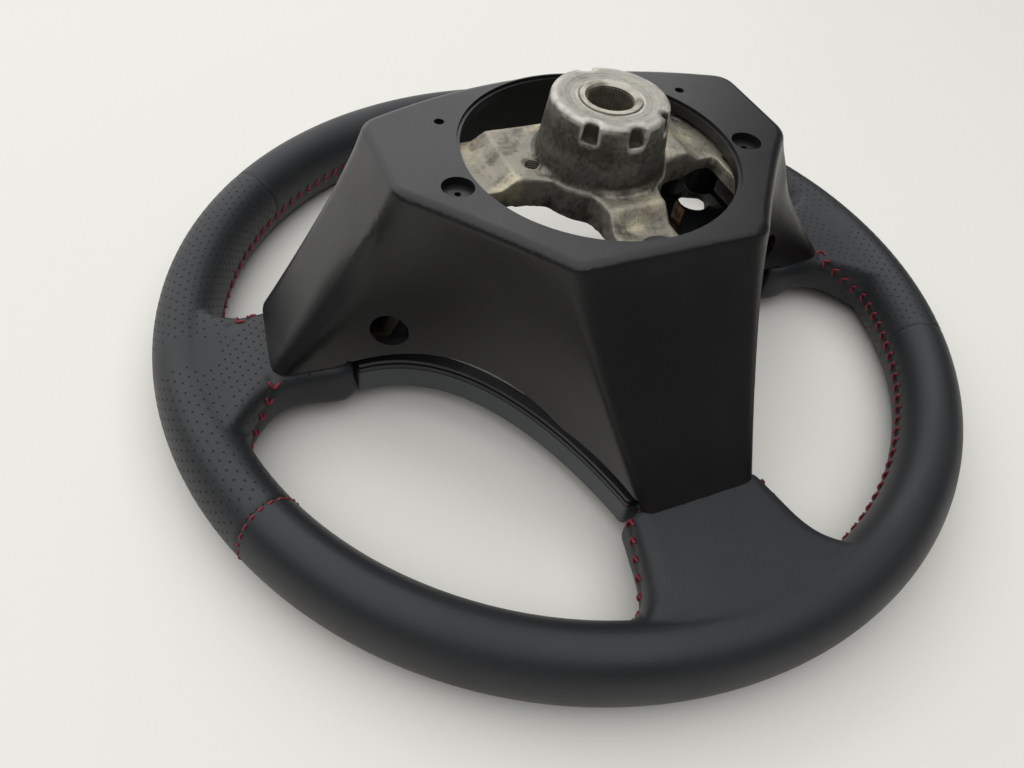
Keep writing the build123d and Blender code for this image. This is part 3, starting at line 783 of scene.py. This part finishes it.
def thinned(hits):
    """Hits that keep away from the sewn line and from the hits before them."""
    crowd = KDTree(len(hits))
    for index, (place, _) in enumerate(hits):
        crowd.insert(place, index)
    crowd.balance()
    kept = {}
    for index, (place, normal) in enumerate(hits):
        beside = [other for _, other, _ in crowd.find_range(place, HOLE_GAP)]
        if near_seam.find(place)[2] > SEAM_MARGIN and not any(other in kept for other in beside):
            kept[index] = (place, normal)
    return list(kept.values())


hole_hits = {}
for side in ("left", "right"):
    start, end = PANELS[f"leather_{side}_grip"][:2]
    grip = (start + PANEL_MARGIN, end - PANEL_MARGIN)
    hole_hits[side] = thinned([*root_holes(*grip), *rim_holes(*grip)])
    print(side, "grip:", len(hole_hits[side]), "holes")

# %% [markdown]
# ## Perforations
#
# Each hole was punched through the leather, and shows as a dark dot. Cutting them into the skin
# would need far smaller quads, so each is a small dark plug that is level with the leather.

# %% Perforations
PLUG_SIDES = 8
OFF_AXIS = (0.31, 0.52, 0.79)

dark, *_ = finish("hole_shadow", Base_Color=grey(0.004), Roughness=0.8)
tree, cloud, size, keys = new_tree("perforation", HOLE_SIZES)
plug = cloud.node(
    "GeometryNodeMeshCylinder",
    {"fill_type": "NGON"},
    {"Vertices": PLUG_SIDES, "Radius": size["Hole"], "Depth": size["Depth"]},
)
drop = cloud.node("ShaderNodeCombineXYZ", {}, {2: HOLE_RISE - 0.5 * size["Depth"]})
lowered = cloud.node("GeometryNodeTransform", {}, {"Geometry": plug, "Translation": drop})
set_down(cloud, lowered, dark)
for side, hits in hole_hits.items():
    stations, facing = (np.array([hit[part] for hit in hits]) for part in (0, 1))
    along = np.cross(facing, OFF_AXIS)
    hole_cloud = cloud_mesh(f"{side}_holes", stations, facing, along)
    grown(f"{side}_perforations", hole_cloud, tree, keys, HOLE_SIZES)

# %% [markdown]
# ## Cast hub
#
# The hub and its arms are one die casting: no edge is sharp, no face is quite flat. A remesh and a
# few rounds of relaxing round the edges off, hollows below the boss fill up as fillets do, but not
# the drilled holes, and slow noise moves the skin by a tenth of a millimetre. How far each point
# stands out from its relaxed place is kept as an attribute, for the finish.

# %% Casting form
CAST_VOXEL = 0.86 * MM
CAST_ROUNDS = 2
FILLET_ROUNDS = 40
FILLET_DEPTH = 0.4 * MM
FILLET_TOP = 116.0 * MM
CAST_UNEVEN = 0.12 * MM
CAST_WAVES = 140.0
WEAR_ROUNDS = 8
WEAR_DEPTH = 0.14 * MM
PULLER_X = mounts["puller_holes"]["dims"]["spacing_x_mm"] / 2 * MM
PULLER_Y = mounts["puller_holes"]["pos_m"][1]
GUIDE_X, GUIDE_Y, _ = mounts["pad_guide_right"]["pos_m"]
PULLER_CLEAR = 4.4 * MM
GUIDE_CLEAR = 9.0 * MM
BORE_CLEAR = 13.5 * MM

casting = remeshed(joined_copy(("armature",)), CAST_VOXEL)
put_back(casting, relaxed(places_of(casting), values(casting, "vertices", 2), CAST_ROUNDS))
points = places_of(casting)
low = points[:, 2] < FILLET_TOP
drilled = [(PULLER_X, PULLER_Y, PULLER_CLEAR), (GUIDE_X, GUIDE_Y, GUIDE_CLEAR), (0, 0, BORE_CLEAR)]
for hole_x, hole_y, clear in drilled:
    low &= np.hypot(np.abs(points[:, 0]) - hole_x, points[:, 1] - hole_y) > clear
points[low] = filled(casting, FILLET_ROUNDS, FILLET_DEPTH)[low]
put_back(casting, points)
swell = np.array([noise.noise(Vector(place) * CAST_WAVES) for place in points])
stand_out = points - relaxed(points, values(casting, "vertices", 2), WEAR_ROUNDS)
stand_out = (stand_out * values(casting, "normal", 3)).sum(axis=1) / WEAR_DEPTH
put_back(casting, points + CAST_UNEVEN * swell[:, None] * values(casting, "normal", 3))
worn = casting.attributes.new("stand_out", "FLOAT", "POINT")
worn.data.foreach_set("value", stand_out.astype(np.float32))
print("casting:", len(casting.polygons), "quads, filled at", int(low.sum()), "points")

# %% [markdown]
# ## Cast alloy
#
# The alloy is dull and has been handled for years. What stands out is rubbed bright, what lies deep
# holds dirt. Stains cloud over both, more on the boss's side than on its machined face, where the
# lathe left rings. The arms have patches of a yellow film, and their parts deep inside the cover are
# painted nearly black as painted shade. Stains, rings, depth and that painted shade add up to one
# value, which sets the colour and the gloss together.

# %% Alloy finish
BOSS_EDGE = (0.0255, 0.029)
FACE_EDGE = (0.1283, 0.1293)
# painted shade: heights over which the arms deep inside the cover go from dark to bare
PAINTED_SHADE_HEIGHTS = (0.084, 0.1)
FACE_COLOUR = (0.36, 0.345, 0.3, 1.0)
ARM_COLOUR = (0.27, 0.25, 0.2, 1.0)
FILM_COLOUR = (0.46, 0.41, 0.29, 1.0)
# colour of the stains and of the painted shade deep inside the cover
SOIL_AND_SHADE_COLOUR = (0.05, 0.042, 0.03, 1.0)
RUBBED_COLOUR = (0.66, 0.64, 0.58, 1.0)
TURNING_RINGS = 190.0
CAST_GRAIN = 0.3 * MM

alloy, shader, place = finish("cast_alloy", Metallic=0.45, Specular_IOR_Level=0.4)
x, y, z = (place.node("ShaderNodeSeparateXYZ", {}, {0: place}, axis) for axis in range(3))
arms = (x * x + y * y).ramp(BOSS_EDGE[0] ** 2, BOSS_EDGE[1] ** 2)
boss_side = (1 - arms) * (1 - z.ramp(*FACE_EDGE))
stands = place.node("ShaderNodeAttribute", {"attribute_name": "stand_out"}, {}, 2)
rubbed = stands.ramp(0.3, 1.1) * cloudy(place, 150.0, 3.0).ramp(0.35, 0.6) * (1 - 0.75 * arms)
deep = 1 - stands.ramp(-1.0, -0.1)
# painted shade: darkens the arms below the lower height, deep inside the cover
painted_depth_shade = 1 - z.ramp(*PAINTED_SHADE_HEIGHTS)
stains = cloudy(place, 75.0, 6.0, 0.68).ramp(0.42, 0.64) * (0.35 + 0.65 * arms)
film = cloudy(place, 48.0, 5.0, 0.6).ramp(0.48, 0.62) * arms
specks = cloudy(place, 520.0, 3.0, 0.6).ramp(0.4, 0.75)
rings = {"wave_type": "RINGS", "rings_direction": "Z"}
turning = place.node("ShaderNodeTexWave", rings, {"Vector": place, "Scale": TURNING_RINGS})
# real stains, specks and dirt, summed with the painted shade deep inside the cover
soil_and_shade = 0.55 * stains + 0.2 * specks + 0.6 * boss_side + 0.3 * deep + 0.8 * painted_depth_shade
soil_and_shade = (soil_and_shade + 0.16 * (1 - arms) * turning).ramp(0.0, 1.1)
bare = soil_and_shade.tint(film.tint(arms.tint(FACE_COLOUR, ARM_COLOUR), FILM_COLOUR), SOIL_AND_SHADE_COLOUR)
feed(
    shader,
    # rubbed edges are kept out of the painted shade
    Base_Color=(0.6 * rubbed * (1 - painted_depth_shade)).tint(bare, RUBBED_COLOUR),
    Roughness=0.4 + 0.25 * soil_and_shade,
    Normal=relief(cloudy(place, 330.0, 5.0, 0.65) * (0.5 + arms), CAST_GRAIN),
)
casting.materials.append(alloy)
hub = new_piece("cast_hub", casting)
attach(hub, BODY)
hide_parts("armature")
print("cast hub:", len(casting.polygons), "quads")

# %% [markdown]
# ## Serrations
#
# The steel bush has fine teeth along its bore, which grip the column shaft. A broach cuts them in one
# stroke. Here a tooth is a three-sided bar that is set down all round the smooth bore.

# %% Serrations
TEETH = 40
bush_low, bush_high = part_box("splined_bush")
BORE_RADIUS = mounts["column_bore"]["dims"]["r_mm"] * MM
TOOTH_SIDES = 3
TOOTH_INSET = 1.5 * MM
TOOTH_SIZES = {"Tooth": 0.62 * MM, "Length": bush_high[2] - bush_low[2] - 2 * TOOTH_INSET}
STEEL_COLOUR = (0.44, 0.42, 0.36, 1.0)
RUST_COLOUR = (0.26, 0.23, 0.18, 1.0)

steel, shader, place = finish("bush_steel", Metallic=0.85)
rust = cloudy(place, 160.0, 4.0).ramp(0.4, 0.7)
feed(shader, Base_Color=rust.tint(STEEL_COLOUR, RUST_COLOUR), Roughness=0.4 + 0.2 * rust)
tree, cloud, size, keys = new_tree("serration", TOOTH_SIZES)
bar = cloud.node(
    "GeometryNodeMeshCylinder",
    {"fill_type": "NGON"},
    {"Vertices": TOOTH_SIDES, "Radius": size["Tooth"], "Depth": size["Length"]},
)
quarter = (0.0, -math.pi / 2, 0.0)
laid = cloud.node("GeometryNodeTransform", {}, {"Geometry": bar, "Rotation": quarter})
set_down(cloud, laid, steel)
turns = [2 * math.pi * count / TEETH for count in range(TEETH)]
inwards = np.array([(-math.cos(turn), -math.sin(turn), 0.0) for turn in turns])
bore_middle = np.array((0.0, 0.0, (bush_low[2] + bush_high[2]) / 2))
tooth_places = bore_middle - BORE_RADIUS * inwards
tooth_cloud = cloud_mesh("tooth_points", tooth_places, inwards, [(0, 0, 1)] * TEETH)
teeth = grown("bore_teeth", tooth_cloud, tree, keys, TOOTH_SIZES)

# %% [markdown]
# ## Screw threads
#
# The two puller holes beside the boss are threaded. A turn of the thread is hardly wider than the
# casting's quads, so it isn't cut into them: a thread is a tube along a spiral curve, set down at
# the foot of each hole.

# %% Screw threads
PULLER_FOOT = 92.5 * MM
THREAD_STEPS = 20
THREAD_SIDES = 5
THREAD_SIZES = {"Ridge": 0.34 * MM, "Radius": 3.05 * MM, "Height": 11.0 * MM, "Turns": 11.0}
tree, cloud, size, keys = new_tree("screw_thread", THREAD_SIZES)
spiral = cloud.node(
    "GeometryNodeCurveSpiral",
    {},
    {
        "Resolution": THREAD_STEPS,
        "Rotations": size["Turns"],
        "Start Radius": size["Radius"],
        "End Radius": size["Radius"],
        "Height": size["Height"],
    },
)
set_down(cloud, tube(cloud, spiral, THREAD_SIDES, size["Ridge"]), alloy)
feet = [(side * PULLER_X, PULLER_Y, PULLER_FOOT) for side in (-1, 1)]
thread_cloud = cloud_mesh("thread_points", feet, [(0, 0, 1)] * 2, [(1, 0, 0)] * 2)
threads = grown("puller_threads", thread_cloud, tree, keys, THREAD_SIZES)

# %% [markdown]
# ## Moulded plastics
#
# The cover, the garnish and its frame are black mouldings with a fine spark-eroded grain. Garnish and
# frame keep the shape of their solids. Cover and trim differ only a little in tone and gloss, which
# is what separates them in daylight.


# %% Plastics
COVER_GRAIN = 0.03 * MM
TRIM_GRAIN = 0.02 * MM
CARRIER_COLOUR = (0.016, 0.022, 0.019, 1.0)


def moulded_finish(name, colour, roughness, grain):
    """Black moulding with a fine grain, a little uneven in gloss."""
    material, shader, place = finish(name, Base_Color=colour)
    worn = cloudy(place, 30.0, 4.0).ramp(0.3, 0.75)
    height = cloudy(place, 1600.0, 2.0) + pebbles(place, 1300.0)
    feed(shader, Roughness=roughness + 0.08 * worn, Normal=relief(height, grain))
    return material


def coat(material, *names):
    """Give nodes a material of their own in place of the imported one."""
    for name in names:
        nodes[name].data.materials.clear()
        nodes[name].data.materials.append(material)
        print(name, "is", material.name)


cover_plastic = moulded_finish("cover_plastic", grey(0.006, 0.01), 0.33, COVER_GRAIN)
coat(moulded_finish("garnish_plastic", grey(0.058, -0.1), 0.36, TRIM_GRAIN), "bezel_garnish")
coat(moulded_finish("frame_plastic", grey(0.014, -0.08), 0.38, TRIM_GRAIN), "bezel_frame")
coat(moulded_finish("carrier_plastic", CARRIER_COLOUR, 0.5, TRIM_GRAIN), "contact_carrier")
bushes = [f"guide_bush_{where}" for where in ("left", "right", "lower")]
coat(moulded_finish("bush_plastic", grey(0.008), 0.42, TRIM_GRAIN), *bushes)

# %% [markdown]
# ## Soft ridges of the cover
#
# On the real cover the ridge between a side lobe and the waist is a broad sweep that tightens only
# at its two ends, where the solid has one narrow rounding. A rule says how far a point near a ridge
# moves into the cover: most at the ridge itself, and less and less up to its reach, as the curve of
# a wide rounding does. The ridge runs outwards on its way down, and the reach grows from nothing.

# %% Rule of the ridges
cover_low, cover_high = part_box("back_cover")
RIDGE_TOP = Vector((86.0 * MM, -6.0 * MM))
RIDGE_FOOT = Vector((cover_high[0], -13.0 * MM))
RIDGE_FLARE = 1.2
RIDGE_INTO = (0.79, 0.61)
RIDGE_BEND = 0.31
RIDGE_REACH = 18.0 * MM
RIDGE_CEILING = cover_high[2] - 9.0 * MM
RIDGE_RISE = 0.55
RIDGE_FALL = 0.4


def ridge_pull(place):
    """How far a place near a ridge moves into the cover, and its distance beyond the ridge's reach."""
    depth = (cover_high[2] - place.z) / (cover_high[2] - cover_low[2])
    flare = min(1.0, max(0.0, depth)) ** RIDGE_FLARE
    ridge = RIDGE_TOP.lerp(RIDGE_FOOT, flare)
    share = max(0.0, (RIDGE_CEILING - place.z) / (RIDGE_CEILING - cover_low[2]))
    rise = min(1.0, share / RIDGE_RISE)
    reach = RIDGE_REACH * rise * rise * (3 - 2 * rise) * (1 - RIDGE_FALL * share * share)
    beyond = (Vector((abs(place.x), place.y)) - ridge).length - reach
    return RIDGE_BEND * beyond * beyond / reach if beyond < 0 else 0.0, beyond


print("ridges from", RIDGE_TOP, "to", RIDGE_FOOT)

# %% [markdown]
# ## Cover with soft ridges
#
# The cover is one moulded shell. A copy of its mesh is divided finely along both ridges, and the
# points there move by the rule. The inner wall follows, so the shell stays a shell. Normals are
# weighed by area, which keeps the flat faces flat.

# %% Cover with soft ridges
DIVIDE_ROUNDS = 5
DIVIDE_LENGTH = 4.0 * MM
SHARP = math.radians(35.0)

work = joined_copy(("back_cover",))
for _ in range(DIVIDE_ROUNDS):
    long_edges = [
        edge
        for edge in work.edges
        if edge.calc_length() > DIVIDE_LENGTH
        and max(end.co.z for end in edge.verts) < RIDGE_CEILING
        and min(ridge_pull(end.co)[1] for end in edge.verts) < edge.calc_length()
    ]
    bmesh.ops.subdivide_edges(work, edges=long_edges, cuts=1)
    bmesh.ops.triangulate(work, faces=[face for face in work.faces if len(face.verts) > 3])
furthest = 0.0
for vertex in work.verts:
    pull = ridge_pull(vertex.co)[0]
    vertex.co.x -= math.copysign(pull * RIDGE_INTO[0], vertex.co.x)
    vertex.co.y += pull * RIDGE_INTO[1]
    furthest = max(furthest, pull)
cover_mesh = bpy.data.meshes.new("soft_cover")
work.to_mesh(cover_mesh)
work.free()
cover_mesh.attributes.remove(cover_mesh.attributes["custom_normal"])
cover_mesh.shade_smooth()
cover_mesh.set_sharp_from_angle(angle=SHARP)
cover = new_piece("soft_cover", cover_mesh)
weigh = cover.modifiers.new("weigh", "WEIGHTED_NORMAL")
weigh.keep_sharp = True
weighed = plain_mesh(cover)
cover.modifiers.remove(weigh)
cover.data = weighed
weighed.materials.clear()
weighed.materials.append(cover_plastic)
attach(cover, BODY)
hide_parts("back_cover")
print("soft cover:", len(weighed.polygons), "faces, moved by up to", round(furthest / MM, 1), "mm")

# %% [markdown]
# ## Small metal pieces and padding
#
# The contact blade is dulled copper and the screws are zinc plated. The foam and the steel ring
# inside the rim don't show, but each has its finish, so that a part taken from the shelf and opened
# still looks right.


# %% Metals and foam
COPPER_COLOUR = (0.2, 0.12, 0.08, 1.0)
COPPER_DULL = (0.1, 0.06, 0.04, 1.0)


def metal_finish(name, bright, dull, roughness):
    """Metal whose colour and gloss cloud over."""
    material, shader, place = finish(name, Metallic=0.9)
    cloud = cloudy(place, 300.0, 4.0).ramp(0.35, 0.7)
    feed(shader, Base_Color=cloud.tint(bright, dull), Roughness=roughness + 0.2 * cloud)
    return material


coat(steel, "splined_bush")
coat(metal_finish("contact_copper", COPPER_COLOUR, COPPER_DULL, 0.45), "contact_blade")
coat(metal_finish("screw_steel", grey(0.5), grey(0.32), 0.35), "bezel_screws", "contact_screw")
coat(metal_finish("core_steel", grey(0.28), grey(0.16), 0.45), "rim_core")
foam, shader, place = finish("rim_foam", Roughness=0.9)
feed(shader, Base_Color=cloudy(place, 900.0).tint(grey(0.03), grey(0.06)))
coat(foam, "rim_foam")
